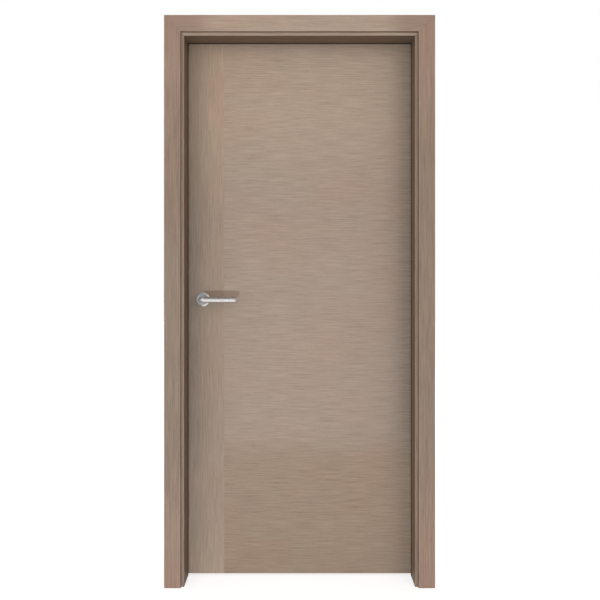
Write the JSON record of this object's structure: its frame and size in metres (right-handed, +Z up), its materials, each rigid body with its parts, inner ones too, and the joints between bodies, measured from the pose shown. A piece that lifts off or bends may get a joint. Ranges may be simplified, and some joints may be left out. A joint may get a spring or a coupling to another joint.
{
  "type": "interior door set with flush veneered leaf and lever handles",
  "caption": "Interior door set: a flush oak-veneered leaf hung in a rebated lining with architraves on both wall faces, a tubular latch and round bar levers.",
  "frame": {"origin": "floor level on the outer face of the hinge-side lining, at half the lining's depth", "axes": "+Z up; +X across the doorway from the lock side to the hinge side, out of the hinge-side lining into the wall; +Y from the push side, seen in the picture, to the side the leaf opens to"},
  "size_m": [1.016, 0.201, 2.112],
  "materials": {
    "leaf_veneer": "grey-brown oak veneer, matt lacquer",
    "architrave_veneer": "grey-brown oak veneer, matt lacquer",
    "lining_veneer": "grey-brown oak veneer, matt lacquer",
    "lipping_veneer": "grey-brown oak lipping, matt lacquer",
    "leaf_timber": "bare softwood and board",
    "tongue_board": "bare fibreboard",
    "seal_rubber": "dark brown soft seal",
    "satin_steel": "satin stainless steel",
    "satin_nickel": "satin nickel plate",
    "plain_steel": "zinc-plated steel"
  },
  "bodies": {
    "frame": {"lining_hinge_side": "lining_veneer", "lining_lock_side": "lining_veneer", "lining_head": "lining_veneer", "architrave_front_hinge_side": "architrave_veneer", "architrave_front_lock_side": "architrave_veneer", "architrave_front_head": "architrave_veneer", "architrave_back_hinge_side": "architrave_veneer", "architrave_back_lock_side": "architrave_veneer", "architrave_back_head": "architrave_veneer", "tongue_front_hinge_side": "tongue_board", "tongue_front_lock_side": "tongue_board", "tongue_front_head": "tongue_board", "tongue_back_hinge_side": "tongue_board", "tongue_back_lock_side": "tongue_board", "tongue_back_head": "tongue_board", "seal_hinge_side": "seal_rubber", "seal_lock_side": "seal_rubber", "seal_head": "seal_rubber", "strike_plate": "satin_nickel", "hinge_bottom_frame_half": "satin_nickel", "hinge_middle_frame_half": "satin_nickel", "hinge_top_frame_half": "satin_nickel"},
    "leaf": {"leaf_core": "leaf_timber", "leaf_stile_lock_side": "leaf_timber", "leaf_stile_hinge_side": "leaf_timber", "leaf_rail_bottom": "leaf_timber", "leaf_rail_top": "leaf_timber", "leaf_lipping_lock_side": "lipping_veneer", "leaf_lipping_hinge_side": "lipping_veneer", "leaf_face_front_strip": "leaf_veneer", "leaf_face_front_field": "leaf_veneer", "leaf_face_back_strip": "leaf_veneer", "leaf_face_back_field": "leaf_veneer", "latch_case": "satin_nickel", "latch_bolt": "satin_nickel", "rose_front": "satin_steel", "rose_back": "satin_steel", "hinge_bottom_leaf_half": "satin_nickel", "hinge_middle_leaf_half": "satin_nickel", "hinge_top_leaf_half": "satin_nickel"},
    "handle": {"lever_front": "satin_steel", "lever_back": "satin_steel", "spindle": "plain_steel"}
  },
  "joints": [
    {"name": "door_swing", "type": "hinge", "parent": "frame", "child": "leaf", "pos_m": [-0.0285, 0.07, 0], "axis": [0, 0, -1], "range_deg": [0, 170]},
    {"name": "handle_turn", "type": "hinge", "parent": "leaf", "child": "handle", "pos_m": [-0.834, 0.0425, 1.055], "axis": [0, 1, 0], "range_deg": [0, 40], "stiffness_Nm_per_rad": 2, "springref_deg": -45.84}
  ]
}
